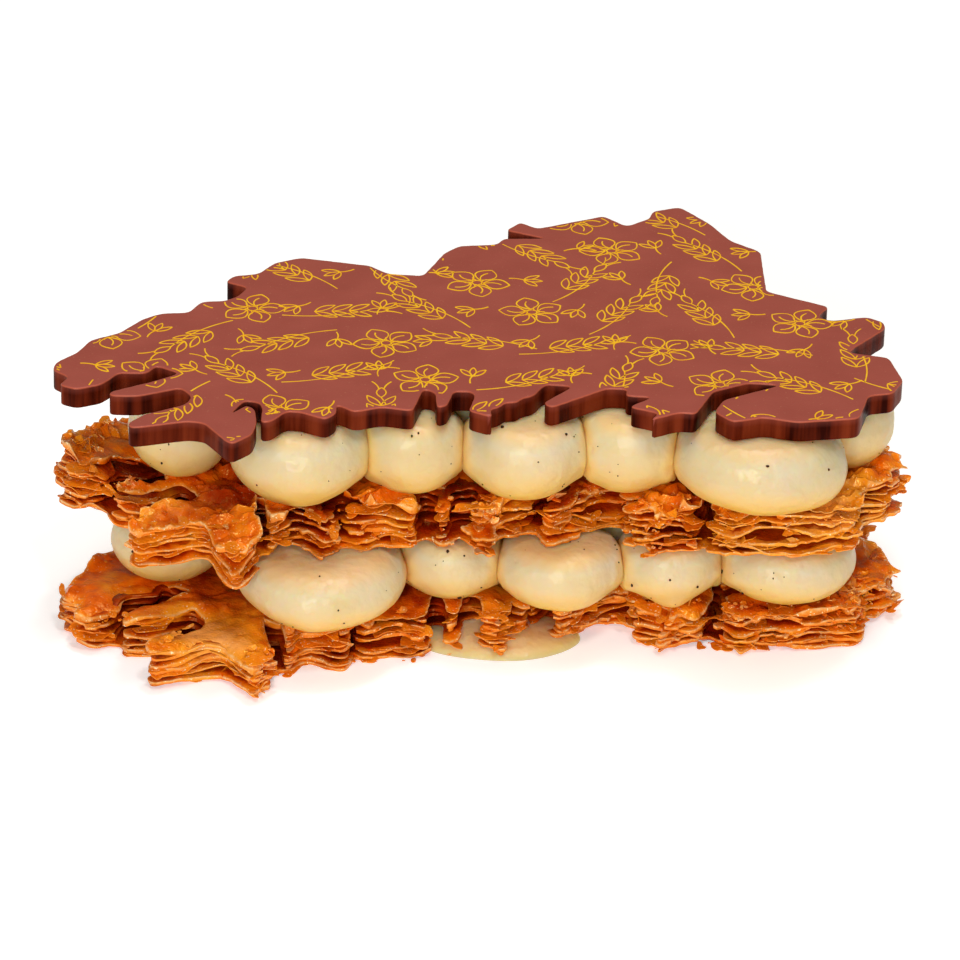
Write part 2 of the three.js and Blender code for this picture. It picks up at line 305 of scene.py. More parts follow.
def filled_field(field, around, seed, rows):
    """Points and triangles where a field is above 0, with a lattice for each range of its values."""
    rim, edges = field.zero_line()
    points = [rim]
    for step, shallow, deep in rows:
        spread = lattice(around, step, seed)
        inside = field.at(spread)
        points.append(spread[(inside > shallow) & (inside < deep)])
    return triangulated(
        np.concatenate(points), edges.tolist(), lambda middles: field.at(middles) > 0
    )


def globe_faces(sides, rings):
    """Faces over a bottom pole, rings of corners that go up and a top pole, in that order."""
    ring, side = np.meshgrid(np.arange(rings - 1), np.arange(sides), indexing="ij")
    start = (1 + ring * sides + side).ravel()
    beside = (1 + ring * sides + (side + 1) % sides).ravel()
    quads = np.stack([start, beside, beside + sides, start + sides], axis=1)
    side = np.arange(sides)
    following = (side + 1) % sides
    last = 1 + (rings - 1) * sides
    bottom_fan = np.stack([0 * side, 1 + following, 1 + side], axis=1)
    top_fan = np.stack([0 * side + last + sides, last + side, last + following], axis=1)
    return quads, bottom_fan, top_fan


def largest_part(triangles, count):
    """The triangles of the largest connected part, with loose scraps dropped."""
    label = np.arange(count)
    while True:
        lowest = label[triangles].min(axis=1)
        fresh = label.copy()
        for column in range(3):
            np.minimum.at(fresh, triangles[:, column], lowest)
        fresh = fresh[fresh]
        if (fresh == label).all():
            break
        label = fresh
    names, sizes = np.unique(label[triangles[:, 0]], return_counts=True)
    return triangles[label[triangles[:, 0]] == names[sizes.argmax()]]


def rim_sides(triangles):
    """The directed sides that only one triangle has."""
    sides = np.concatenate([triangles[:, [0, 1]], triangles[:, [1, 2]], triangles[:, [2, 0]]])
    _, first, counts = np.unique(
        np.sort(sides, axis=1), axis=0, return_index=True, return_counts=True
    )
    return sides[first[counts == 1]]


def placed(name, data):
    """A new object in the scene."""
    made = bpy.data.objects.new(name, data)
    bpy.context.scene.collection.objects.link(made)
    return made


class Shape:
    """Corners and faces of a mesh, to which parts are added one by one."""

    def __init__(self):
        self.corners = []
        self.faces = []
        self.values = []
        self.count = 0

    def add(self, corners, *faces, values=None):
        self.corners.append(corners)
        self.values.append(np.zeros(len(corners)) if values is None else values)
        for group in faces:
            self.faces.extend((np.asarray(group) + self.count).tolist())
        self.count += len(corners)

    def add_slab(self, plan, triangles, low, high, above=None, below=None):
        """A closed solid between two heights over the triangles of a plan, with values on each."""
        used, packed = np.unique(triangles, return_inverse=True)
        triangles = packed.reshape(-1, 3)
        count = len(used)
        rim = rim_sides(triangles)
        walls = np.stack([rim[:, 0] + count, rim[:, 1] + count, rim[:, 1], rim[:, 0]], axis=1)
        top = np.column_stack([plan[used], high[used]])
        bottom = np.column_stack([plan[used], low[used]])
        values = None
        if above is not None:
            values = np.concatenate([above[used], (above if below is None else below)[used]])
        self.add(
            np.concatenate([top, bottom]), triangles, triangles[:, ::-1] + count, walls,
            values=values,
        )

    def piece(self, name, material, slot, replaced=(), sharp_angle=40):
        """The shape as a piece of the scene that rides on the body."""
        mesh = bpy.data.meshes.new(name)
        corners = np.concatenate(self.corners)
        mesh.from_pydata((corners * MM).tolist(), [], self.faces)
        # Each corner keeps a value that the materials turn into painted shade and painted highlight
        attribute = mesh.attributes.new("edge", "FLOAT", "POINT")
        attribute.data.foreach_set("value", np.concatenate(self.values).astype(np.float32))
        mesh.shade_smooth()
        mesh.set_sharp_from_angle(angle=math.radians(sharp_angle))
        mesh.materials.append(material)
        made = placed(name, mesh)
        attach(made, BODY)
        if replaced:
            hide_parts(*replaced)


# Reading the frame
def heights(node):
    low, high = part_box(node)
    return low.z / MM, high.z / MM


def top_rim(node):
    """The corners round the flat top of a CAD node, anticlockwise."""
    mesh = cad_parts[node].data
    corners = np.round(np.array([v.co for v in mesh.vertices]) / MM, 3)
    top = corners[:, 2].max()
    sides = set()
    for face in mesh.polygons:
        loop = [tuple(corners[index]) for index in face.vertices]
        if all(corner[2] == top for corner in loop):
            for start, end in zip(loop, loop[1:] + loop[:1]):
                if (end, start) in sides:
                    sides.remove((end, start))
                else:
                    sides.add((start, end))
    following = dict(sides)
    rims = []
    while following:
        rim = [next(iter(sorted(following)))]
        while rim[-1] in following:
            rim.append(following.pop(rim[-1]))
        rims.append(rim[:-1])
    longest = max(rims, key=len)
    return np.array([corner[:2] for corner in longest])


dab_low, dab_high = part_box("cream_dab")
PLAN_ORIGIN = np.array([
    (dab_low.x + dab_high.x) / 2 / MM - DAB["x"],
    (dab_low.y + dab_high.y) / 2 / MM - DAB["y"],
])
plate_bottom, plate_top = heights("chocolate_plate")
upper_cream_bottom, upper_cream_top = heights("upper_cream_core")
lower_cream_bottom, lower_cream_top = heights("lower_cream_core")
plate_outline = top_rim("chocolate_plate") - PLAN_ORIGIN


# Node materials
class Look:
    """A material and the nodes that make it. Inputs take a node's output or a plain value."""

    def __init__(self, name):
        self.material = bpy.data.materials.new(name)
        self.material.use_nodes = True
        self.tree = self.material.node_tree

    def feed(self, socket, value):
        if isinstance(value, bpy.types.NodeSocket):
            self.tree.links.new(value, socket)
        else:
            socket.default_value = value

    def feed_all(self, node, inputs):
        """Feeds inputs named by their labels, with underscores for spaces."""
        for name, value in inputs.items():
            self.feed(node.inputs[name.replace("_", " ")], value)

    def node(self, kind, **inputs):
        made = self.tree.nodes.new("ShaderNode" + kind)
        self.feed_all(made, inputs)
        return made

    def finished(self, **inputs):
        """The material, with its main shader fed."""
        self.feed_all(self.tree.nodes["Principled BSDF"], inputs)
        return self.material

    def place(self):
        return self.node("TexCoord").outputs["Object"]

    def noise(self, size, detail=3, roughness=0.5, stretch=(1, 1, 1)):
        """A noise texture whose features are about the given size, optionally stretched."""
        mapping = self.node("Mapping", Vector=self.place(), Scale=stretch)
        texture = self.node(
            "TexNoise", Vector=mapping.outputs["Vector"], Scale=1 / (size * MM), Detail=detail,
            Roughness=roughness,
        )
        return texture.outputs["Fac"]

    def ramp(self, factor, stops):
        """Colours along a factor, from (place, colour) pairs."""
        ramp = self.node("ValToRGB", Fac=factor)
        elements = ramp.color_ramp.elements
        while len(elements) < len(stops):
            elements.new(0.5)
        for element, (place, colour) in zip(elements, stops):
            element.position = place
            element.color = (*colour, 1)
        return ramp.outputs["Color"]

    def ranged(self, value, start, end, low, high, kind="LINEAR"):
        """From low to high as the value goes from start to end, and no further."""
        spread = self.node(
            "MapRange", Value=value, From_Min=start, From_Max=end, To_Min=low, To_Max=high
        )
        spread.interpolation_type = kind
        return spread.outputs["Result"]

    def grey(self, factor, low, high):
        """A factor from 0 to 1 turned into a number from low to high."""
        return self.ranged(factor, 0, 1, low, high)

    def mask(self, value, start, end, most=1):
        """A factor that rises from 0 to the most as the value goes from start to end."""
        return self.ranged(value, start, end, 0, most)

    def maths(self, operation, first, second, kind="Math"):
        made = self.node(kind)
        made.operation = operation
        self.feed(made.inputs[0], first)
        self.feed(made.inputs[1], second)
        return made.outputs["Value"]

    def near(self, middle, reach, amount):
        """A number that falls smoothly from the given amount at a place to 0 at its reach."""
        apart = self.maths("DISTANCE", self.place(), Vector(middle) * MM, "VectorMath")
        return self.ranged(apart, 0, reach * MM, amount, 0, "SMOOTHSTEP")

    def mix(self, factor, first, second, blend="MIX"):
        """Two colours mixed."""
        mix = self.node("Mix")
        mix.data_type = "RGBA"
        mix.blend_type = blend
        self.feed(mix.inputs[0], factor)
        for socket, colour in ((mix.inputs[6], first), (mix.inputs[7], second)):
            self.feed(socket, (*colour, 1) if isinstance(colour, tuple) else colour)
        return mix.outputs[2]

    def bump(self, height, depth, below=None, strength=1):
        """A bump of the given depth in millimetres, on top of another one if that is given."""
        bump = self.node("Bump", Height=height, Distance=depth * MM, Strength=strength)
        if below is not None:
            self.feed(bump.inputs["Normal"], below)
        return bump.outputs["Normal"]

    def facing_up(self, low, high):
        """How far a surface faces upwards: 0 where its normal rises by low, and 1 by high."""
        normal = self.node("NewGeometry").outputs["Normal"]
        return self.mask(self.node("SeparateXYZ", Vector=normal).outputs["Z"], low, high)

    def edge(self):
        """The value that the mesh keeps at each corner, which places painted shade and painted
        highlight.
        """
        attribute = self.node("Attribute")
        attribute.attribute_name = "edge"
        return attribute.outputs["Fac"]


def chocolate_material():
    look = Look("chocolate")
    cloud = look.ramp(look.noise(9), [(0.3, (0.305, 0.062, 0.047)), (0.7, (0.345, 0.075, 0.057))])
    speckle = look.mask(look.noise(0.35, 1), 0.72, 0.78)
    top = look.mix(speckle, cloud, (0.42, 0.14, 0.09))
    streaks = look.noise(2.4, 3, 0.5, stretch=(1, 1, 0.07))
    # The cut sides are darker than the top: partly their own streaky colour, partly painted shade
    side = look.ramp(streaks, [
        (0.36, (0.020, 0.001, 0.000)),
        (0.5, (0.090, 0.009, 0.002)),
        (0.66, (0.160, 0.022, 0.006)),
    ])
    up = look.facing_up(0.05, 0.6)
    # Painted highlight: a lighter colour along the plate's rounded top rim
    rim_highlight_share = look.mask(look.edge(), 0.4, 0.95, 0.6)
    grain = look.bump(look.noise(0.3, 2), 0.015)
    return look.finished(
        Base_Color=look.mix(rim_highlight_share, look.mix(up, side, top), (0.52, 0.115, 0.042)),
        Roughness=look.grey(look.noise(1.5), 0.34, 0.46),
        Specular_IOR_Level=look.grey(up, 0.04, 0.35),
        Specular_Tint=(1, 0.6, 0.5, 1),
        Normal=look.bump(streaks, 0.09, grain),
    )


def gold_material():
    look = Look("gold_print")
    return look.finished(
        Base_Color=look.ramp(look.noise(2), [(0.35, (0.90, 0.45, 0.010)), (0.65, (1.0, 0.60, 0.018))]),
        Metallic=0.1,
        Specular_Tint=(1, 0.75, 0.3, 1),
        Roughness=look.grey(look.noise(0.4), 0.3, 0.5),
        Normal=look.bump(look.noise(0.25), 0.02),
    )


def cream_material():
    """Cream with painted shade: ochre on its underside and where something presses on it."""
    look = Look("cream")
    upper = look.ramp(look.noise(7), [(0.3, (0.632, 0.541, 0.318)), (0.7, (0.637, 0.563, 0.402))])
    # Painted shade: the cream turns ochre as its surface faces down
    colour = look.mix(look.facing_up(-0.8, 0.45), (0.69, 0.41, 0.06), upper)
    # Painted shade, ochre, at the creases and where pastry or plate touches the cream
    contact_shade = look.mask(look.edge(), 0.1, 1.0, 0.9)
    ripples = look.bump(look.noise(2.2, 1), 0.34)
    return look.finished(
        Base_Color=look.mix(contact_shade, colour, (0.84, 0.44, 0.10)),
        Subsurface_Weight=0.9,
        Subsurface_Radius=(1.0, 0.5, 0.2),
        Subsurface_Scale=7 * MM,
        Specular_IOR_Level=0.45,
        Specular_Tint=(1, 0.94, 0.82, 1),
        Roughness=look.grey(look.noise(3), 0.26, 0.50),
        Normal=look.bump(look.noise(0.9, 1), 0.08, ripples),
    )


def speck_material():
    look = Look("vanilla_speck")
    return look.finished(
        Base_Color=look.ramp(look.noise(0.6), [
            (0.35, (0.012, 0.007, 0.005)),
            (0.65, (0.07, 0.03, 0.012)),
        ]),
        Specular_IOR_Level=0.15,
        Roughness=look.grey(look.noise(0.2), 0.35, 0.6),
        Normal=look.bump(look.noise(0.1), 0.02),
    )


# Places made paler, or darker if negative: x, y, z, reach and amount. The dark place on top of the
# middle sheet beside the cream is painted shade, and the pale top of the bottom sheet's prong is
# partly painted light.
TONE_AND_LIGHT_PLACES = [
    (-44, -42, 8, 15, 0.38), (57, -20, 27, 20, 0.28), (45, -32, 23, 16, 0.18),
    (-40, -30, 27, 8, -0.10), (-66, -22, 8, 6, -0.08), (52, -30, 4, 14, -0.04),
]


def pastry_material():
    """Caramelised pastry with painted shade and highlight: dark between the leaves as painted shade,
    pale along their thin rims, partly their own colour and partly a painted highlight.
    """
    look = Look("pastry")
    edge = look.edge()
    baked = look.noise(8, 3, 0.6)
    # The listed places add paler or darker tone, some of it painted light and shade
    for x, y, z, reach, amount in TONE_AND_LIGHT_PLACES:
        baked = look.maths("ADD", baked, look.near((x, y, z), reach, amount))
    patches = look.ramp(baked, [
        (0.34, (0.45, 0.030, 0.001)),
        (0.5, (0.85, 0.142, 0.001)),
        (0.70, (0.92, 0.325, 0.012)),
        (1.0, (1.0, 0.450, 0.130)),
    ])
    mottle = look.ramp(look.noise(1.8, 3, 0.5), [(0.3, (0.66, 0.38, 0.22)), (0.6, (1, 1, 1))])
    stretched = look.noise(1.0, 2, stretch=(0.12, 0.12, 1))
    strata = look.ramp(stretched, [(0.35, (0.72, 0.50, 0.30)), (0.6, (1, 1, 1))])
    # Painted shade: the colour darkens where the corner values are low, between the leaves and in
    # notches and gaps
    depth = look.ramp(edge, [
        (0.0, (0.10, 0.02, 0.01)),
        (0.2, (0.50, 0.16, 0.05)),
        (0.5, (1, 1, 1)),
    ])
    layered = look.grey(look.facing_up(0.3, 0.8), 0.6, 0.15)
    colour = patches
    for share, shade in ((0.3, mottle), (layered, strata), (1.0, depth)):
        colour = look.mix(share, colour, shade, "MULTIPLY")
    # Golden and pale tints where leaves lie open and along their rims: partly the rims' own colour,
    # partly painted highlight
    golden = look.mask(edge, 0.55, 0.9, 0.5)
    rim_highlight_share = look.ranged(look.noise(1.1, 2), 0.4, 0.6, 0.2, 1)
    pale = look.maths("MULTIPLY", look.mask(edge, 0.8, 1.0, 0.7), rim_highlight_share)
    # Tiny pale spots near the rims are painted glints
    glint_spots = look.mask(look.noise(0.42, 1), 0.67, 0.72)
    painted_glints = look.maths("MULTIPLY", glint_spots, look.mask(edge, 0.5, 0.75))
    for share, tint in (
        (golden, (0.86, 0.325, 0.012)), (pale, (0.80, 0.58, 0.30)), (painted_glints, (0.92, 0.74, 0.45)),
    ):
        colour = look.mix(share, colour, tint)
    blisters = look.bump(look.noise(1.6, 3, 0.55), 0.3)
    grained = look.bump(look.noise(0.4, 2), 0.06, blisters)
    layers = look.noise(0.42, 1, stretch=(0.14, 0.14, 1))
    on_sides = look.grey(look.facing_up(0.15, 0.5), 1, 0)
    return look.finished(
        Base_Color=colour,
        Roughness=look.grey(look.noise(1.6), 0.14, 0.32),
        Specular_IOR_Level=1.0,
        Specular_Tint=(1, 0.75, 0.2, 1),
        Coat_Weight=0.12,
        Coat_Tint=(1, 0.85, 0.6, 1),
        Coat_Roughness=0.1,
        Normal=look.bump(layers, 0.16, grained, on_sides),
    )


def floor_material():
    look = Look("pale_floor")
    colour = look.ramp(look.noise(60), [(0.4, (0.93, 0.93, 0.93)), (0.6, (0.95, 0.95, 0.95))])
    return look.finished(
        Base_Color=colour, Roughness=0.6, Emission_Color=(0.82, 0.92, 1, 1),
        Emission_Strength=FLOOR_GLOW,
    )


CHOCOLATE = chocolate_material()
GOLD = gold_material()
CREAM = cream_material()
SPECK = speck_material()
PASTRY = pastry_material()


# Chocolate plate
EDGE_ROUNDING = 0.3
PLATE_RIM_STEP = 0.6
CUT_RIPPLE = 0.05
CORNER_SMOOTHINGS = 2
ROUNDING_ROWS = (0.05, 0.12, 0.22, 0.34)
PLATE_GRID = 3.0


def resampled(outline, step):
    """Points along a closed outline with no edge longer than the given length."""
    points = []
    for start, end in zip(outline, np.roll(outline, -1, axis=0)):
        pieces = max(1, math.ceil(np.linalg.norm(end - start) / step))
        for piece in range(pieces):
            points.append(start + (end - start) * piece / pieces)
    return np.array(points)


def outward_normals(outline):
    along = np.roll(outline, -1, axis=0) - np.roll(outline, 1, axis=0)
    along /= np.linalg.norm(along, axis=1)[:, None]
    return np.stack([along[:, 1], -along[:, 0]], axis=1)


def chocolate_plate():
    rim = resampled(plate_outline, PLATE_RIM_STEP)
    for _ in range(CORNER_SMOOTHINGS):
        rim = (np.roll(rim, 1, axis=0) + 2 * rim + np.roll(rim, -1, axis=0)) / 4
    normals = outward_normals(rim)
    rim = rim + normals * (CUT_RIPPLE * noise(rim, 0.9, 5))[:, None]
    rows = []
    for inset in ROUNDING_ROWS:
        row = rim - normals * inset
        rows.append(row[depth_inside(row, rim) > 0.9 * inset])
    inner = lattice(rim, PLATE_GRID, 3)
    plan, triangles = filled_outline(rim, *rows, inner[depth_inside(inner, rim) > 1])
    depth = np.clip(depth_inside(plan, rim), 0, EDGE_ROUNDING)
    depth[:len(rim)] = 0
    drop = EDGE_ROUNDING - np.sqrt(EDGE_ROUNDING ** 2 - (EDGE_ROUNDING - depth) ** 2)
    # The rounded top rim gets values for a painted highlight, the underside none
    rim_highlight_share = 1 - np.abs(depth / EDGE_ROUNDING - 0.3) / 0.5
    shape = Shape()
    shape.add_slab(
        plan + PLAN_ORIGIN, triangles, plate_bottom + drop, plate_top - drop, rim_highlight_share, 0 * rim_highlight_share
    )
    shape.piece("chocolate_plate_rounded", CHOCOLATE, "chocolate", ["chocolate_plate"])


# Gold line print: blossoms and ears of grain, each a few thin lines on the plate
LINE_WIDTH = 0.24
LINE_HEIGHT = 0.025
LINE_STEP = 0.7
PRINT_MARGIN = 0.45
PRINT_PITCH = 15.5
PRINT_ROW_PITCH = 0.82 * PRINT_PITCH
PRINT_WANDER = 1.1


def arc_line(start, end, bulge, count=12):
    """A line that bows to its left by the given length."""
    start = np.array(start, float)
    end = np.array(end, float)
    share = np.linspace(0, 1, count)[:, None]
    across = np.array([start[1] - end[1], end[0] - start[0]]) / np.linalg.norm(end - start)
    return start + (end - start) * share + across * (4 * bulge * share * (1 - share))


def blossom():
    """Five petals with a vein each, round a small ring with stamens."""
    petal_length = 5.6
    lines = []
    for petal in range(5):
        angle = 72 * petal
        for bulge in (-1.9, 1.9):
            lines.append(turned(arc_line((1.1, 0), (petal_length, 0), bulge), angle))
        lines.append(turned(arc_line((1.3, 0), (0.75 * petal_length, 0), 0.5), angle))
        lines.append(turned(arc_line((0.9, 0), (2.1, 0.4), 0.2, 4), angle + 36))
    ring = np.linspace(0, 2 * math.pi, 15)
    lines.append(0.9 * np.stack([np.cos(ring), np.sin(ring)], axis=1))
    return lines


def grain_ear():
    """A bent stalk with pairs of slim kernels that end in fine hairs."""
    lines = [arc_line((-9, -1), (5.4, 0), -1.1, 18)]
    for pair in range(3):
        base = -3.4 + 2.9 * pair
        for side in (1, -1):
            tip = (base + 3.6, side * 2.3)
            lines.append(arc_line((base, 0), tip, 0.85 * side))
            lines.append(arc_line((base, 0), tip, -0.5 * side))
    for side in (1, -1):
        lines.append(arc_line((5.4, 0), (9.0, 0), 0.8 * side))
        lines.append(arc_line((8.4, 0.4 * side), (11.2, 1.6 * side), -0.25 * side, 6))
    return lines


def twig():
    """A short spray of three small leaves."""
    lines = []
    for angle in (-38, 0, 38):
        for bulge in (-0.55, 0.55):
            lines.append(turned(arc_line((0.3, 0), (3.4, 0), bulge, 7), angle))
    lines.append(arc_line((-2.4, 0.3), (0.3, 0), 0.25, 6))
    return lines


def add_line(shape, line, level, plate_depth):
    """A flat ribbon along each stretch of a line that lies on the plate."""
    lengths = np.linalg.norm(np.diff(line, axis=0), axis=1)
    travelled = np.concatenate([[0], np.cumsum(lengths)])
    stops = np.linspace(0, travelled[-1], max(3, round(travelled[-1] / LINE_STEP) + 1))
    line = np.stack([np.interp(stops, travelled, line[:, axis]) for axis in (0, 1)], axis=1)
    on_plate = plate_depth.at(line) > PRINT_MARGIN
    along = np.gradient(line, axis=0)
    along /= np.linalg.norm(along, axis=1)[:, None]
    half = LINE_WIDTH / 2 * (1 + 0.25 * noise(line, 1.5, 9))[:, None]
    side = np.stack([-along[:, 1], along[:, 0]], axis=1) * half
    for ends in np.split(np.arange(len(line)), np.flatnonzero(np.diff(on_plate)) + 1):
        if len(ends) < 2 or not on_plate[ends[0]]:
            continue
        left = line[ends] + side[ends] + PLAN_ORIGIN
        right = line[ends] - side[ends] + PLAN_ORIGIN
        count = len(ends)
        low = level - 3 * LINE_HEIGHT
        corners = np.concatenate([
            np.column_stack([points, np.full(count, height)])
            for points, height in ((right, level), (left, level), (left, low), (right, low))
        ])
        first = np.arange(count - 1)
        walls = []
        for near in range(4):
            start = first + near * count
            beside = first + (near + 1) % 4 * count
            walls.append(np.stack([start, start + 1, beside + 1, beside], axis=1))
        near_end = np.arange(4) * count
        shape.add(corners, *walls, [near_end, (near_end + count - 1)[::-1]])


def gold_print():
    shape = Shape()
    motifs = (blossom, grain_ear, grain_ear)
    plate_depth, _ = depth_field(plate_outline, 0.5)
    low = plate_outline.min(axis=0)
    width, depth = plate_outline.max(axis=0) - low
    rows = math.ceil(depth / PRINT_ROW_PITCH) + 1
    columns = math.ceil(width / PRINT_PITCH) + 1
    for row, column in itertools.product(range(rows), range(columns)):
        place = low + [(column + 0.5 * (row % 2)) * PRINT_PITCH, row * PRINT_ROW_PITCH]
        place = place + PRINT_WANDER * np.array([chance(61, row, column), chance(62, row, column)])
        angle = 180 * chance(63, row, column)
        beside = place + [PRINT_PITCH * 0.5, PRINT_PITCH * 0.1]
        lines = [turned(line, angle) + place for line in motifs[(row + column) % 3]()]
        lines += [turned(line, angle + 75) + beside for line in twig()]
        # Lines that cross lie at levels of their own
        for number, line in enumerate(lines):
            level = plate_top + LINE_HEIGHT * (1 + 0.3 * (number % 6))
            add_line(shape, line, level, plate_depth)
    shape.piece("gold_line_print", GOLD, "chocolate")


# Pastry sheets: piles of ragged leaves that part at the rim and hold together inside
LEAF_GRID = 0.42
LEAF_THICKNESS = 0.64
CRUST_RELIEF = 1.7
FACET_ANGLE = 26
GAP_FLOORS = 1
CRUST_OVERHANG = 0.4
CRUST_DROOP = 1.5
TORN_LEAVES = 2
TEAR_DEPTH = 3.2
NOTCH_REACH = 3
# Painted shade darkens the crust from this far inside its rim
SHELTER_START = 3.5
VOID_DEPTH = 3.5
CALMING = 0.6
NOTCH_CALMING = 0.6
NOTCH_GROWTH = -0.15
FLOOR_GROWTH = 4
LEAF_OFFSET = 0.4
LEAF_DRIFT = 0.5
LEAF_OVERLAP = 0.03
LEAST_THICKNESS = 0.12
RIM_WIDTH = 0.28
FIRST_SHRED = 25
SHRED_ROUGHNESS = 1.6
SHRED_SHARE = 0.3
SHREDS_A_SHEET = 8
SHRED_HALF_THICKNESS = 0.07
SHRED_VALUE = 0.8
FLAKES_A_SHEET = 260
CRUST_FLAKE_SHARE = 0.4
FLAKE_SHELTER = 0.3
FLAKE_SIDES = 7
FLAKE_THICKNESS = 0.13
FLOOR_CLEARANCE = 0.02

# Values that colour the leaves, as painted shade and highlight: dark deep between them, lighter where
# they lie open, lightest along their rims. The hidden share is painted shade in notches and gaps
DEEP_VALUE = 0.2
OPEN_VALUE = 0.35
RIM_VALUE = 0.45
HIDDEN_SHARE = 0.7

# Waves of the levels in a sheet: share of its height and size
STRATUM_WAVES = ((0.11, 14), (0.08, 6), (0.045, 3.2))

# Waves of a torn rim, and of a leaf that has come loose: amount, size and step of the seed
RIM_WAVES = ((0.65, 4.6, 0), (0.48, 2.1, 1), (0.36, 0.95, 11))
LOOSE_WAVES = ((0.28, 2.8, 3), (0.06, 1.1, 12))

# Lattices over a leaf: step, and the depths inside its rim where it begins and ends
CRUST_ROWS = [(0.62, 0.35, 9), (1.6, 9, 16), (3.5, 16, 99)]
LEAF_ROWS = [(0.95, 0.42, 2.4), (2.8, 2.4, 99)]
SHRED_ROWS = [(0.9, 0.4, 99)]


def pastry_outline():
    """The plate's outline with the plain slot in place of the forked crack."""
    in_crack = ((plate_outline > CRACK_LOW) & (plate_outline < CRACK_HIGH)).all(axis=1)
    first = int(np.flatnonzero(in_crack)[0])
    kept = plate_outline[~in_crack]
    return np.concatenate([kept[:first], np.array(PLAIN_SLOT, float), kept[first:]])


def stratum(plan, share, height, sheet):
    """Height of a level inside a sheet: share 0 is its underside and share 1 its top."""
    bend = 0
    for number, (amount, size) in enumerate(STRATUM_WAVES):
        wave = math.sin((number + 1) * math.pi * share)
        bend = bend + amount * noise(plan, size, sheet["seed"] + number) * wave
    for x, y, middle, reach, opening in sheet["voids"]:
        push = math.tanh(14 * (share - middle)) * math.sin(math.pi * share)
        bend = bend + opening / height * nearness(plan, x, y, reach) * push
    return height * (share + bend)


def rim_points(depth, points):
    """The nearest point of the outline to each grid point."""
    up, across = np.gradient(depth.values, depth.step)
    slope = np.stack([across.ravel(), up.ravel()], axis=1)
    slope /= np.maximum(np.linalg.norm(slope, axis=1), 0.5)[:, None]
    return points - slope * depth.values.reshape(-1, 1)


def void_depth(plan, sheet):
    """How much further in the leaves part beside the sheet's large voids."""
    return sum(VOID_DEPTH * nearness(plan, x, y, reach) for x, y, _, reach, _ in sheet["voids"])


def notch_depth(depth, points):
    """How far back in a notch of the outline each grid point lies: 0 along its open sides."""
    line, _ = depth.like(depth.values + NOTCH_REACH).zero_line()
    tree = KDTree(len(line))
    for index, (x, y) in enumerate(line):
        tree.insert((x, y, 0), index)
    tree.balance()
    inside = depth.values.ravel()
    result = np.zeros(len(points))
    for index in np.flatnonzero((inside > -NOTCH_REACH) & (inside < 6)):
        away = tree.find((*points[index], 0))[2]
        result[index] = away - NOTCH_REACH - max(inside[index], 0)
    return depth.like(result)


def cut_gaps(depth, points, gaps):
    """The depth inside an outline with narrow gaps torn in from its sides."""
    values = depth.values.ravel()
    for mouth, end, width in gaps:
        start = np.array(mouth, float)
        step = np.array(end, float) - start
        away = points - start
        share = np.clip(away @ step / (step @ step), 0, 1)
        beside = np.linalg.norm(away - share[:, None] * step, axis=1)
        values = np.minimum(values, beside - width / 2 * (1.2 - 0.7 * share))
    return depth.like(values)


def calmness(points, sheet):
    """From 0 to 1, how near each point is to the places where the sheet is cut clean."""
    return np.max([nearness(points, *place) for place in sheet["calm"]], axis=0)


def part_seed(sheet, number):
    """A seed for each leaf or shred of a sheet."""
    return 1000 * sheet["seed"] + 20 * number


def ragged(depth, points, seed, roughness):
    """The depth inside an outline, with the outline torn more or less along its way."""
    torn = smooth_step(0.5 + 1.3 * noise(points, 12, seed // 1000))
    wander = waves(points, RIM_WAVES, seed)
    return depth.values.ravel() + roughness * (0.4 + torn) * wander


def folded(corners, line, height):
    """Corners in front of a line, seen along its heading, turned down about it."""
    heading = math.radians(line["heading"])
    side = np.array([math.cos(heading), math.sin(heading)])
    front = np.array([math.sin(heading), -math.cos(heading)])
    away = corners[:, :2] - (line["x"], line["y"])
    ahead = away @ front
    beside = np.abs(away @ side) - line["width"] / 2
    angle = math.radians(line["down"]) * smooth_step(ahead / 5) * smooth_step(1 - beside / 1.5)
    rise = corners[:, 2] - height / 2
    moved = ahead * np.cos(angle) + rise * np.sin(angle)
    plan = corners[:, :2] + np.outer(moved - ahead, front)
    level = height / 2 - ahead * np.sin(angle) + rise * np.cos(angle)
    return np.column_stack([plan, level])


def laid(shape, sheet, level, height):
    """A sheet's shape bowed, folded and turned into its place in the cake."""
    corners = np.concatenate(shape.corners)
    corners[:, 1] += sheet["bow"] * (corners[:, 0] / HALF_LENGTH) ** 2
    for line in sheet["folds"]:
        corners = folded(corners, line, height)
    plan = turned(corners[:, :2], sheet["turn"]) + (sheet["x"], sheet["y"]) + PLAN_ORIGIN
    shape.corners = [np.column_stack([plan, corners[:, 2] + level])]


def leaf_field(depth, notches, points, sheet, leaf):
    """The depth inside one leaf's own torn outline; the last leaf is the crust."""
    seed = part_seed(sheet, leaf)
    calm = calmness(points, sheet)
    notch = notches.values.ravel()
    roughness = sheet["roughness"] * (1 - CALMING * calm)
    roughness = roughness * (1 - NOTCH_CALMING * smooth_step(notch / 1.5))
    inside = ragged(depth, points, seed, roughness)
    inside += (FLOOR_GROWTH if leaf < GAP_FLOORS else NOTCH_GROWTH) * smooth_step(notch / 2)
    inside += LEAF_OFFSET * chance(sheet["seed"], leaf)
    inside += LEAF_DRIFT * noise(points, 8, seed + 8)
    if leaf == sheet["leaves"] - 1:
        inside += CRUST_OVERHANG
    if leaf >= sheet["leaves"] - TORN_LEAVES:
        rim = rim_points(depth, points)
        tear = TEAR_DEPTH * smooth_step(2.6 * noise(rim, 7, seed + 9) - 0.5)
        tear = tear + 0.6 * noise(rim, 1.6, seed + 13) * (tear > 0)
        inside -= tear * (1 - smooth_step(2 * calm))
    return depth.like(inside)


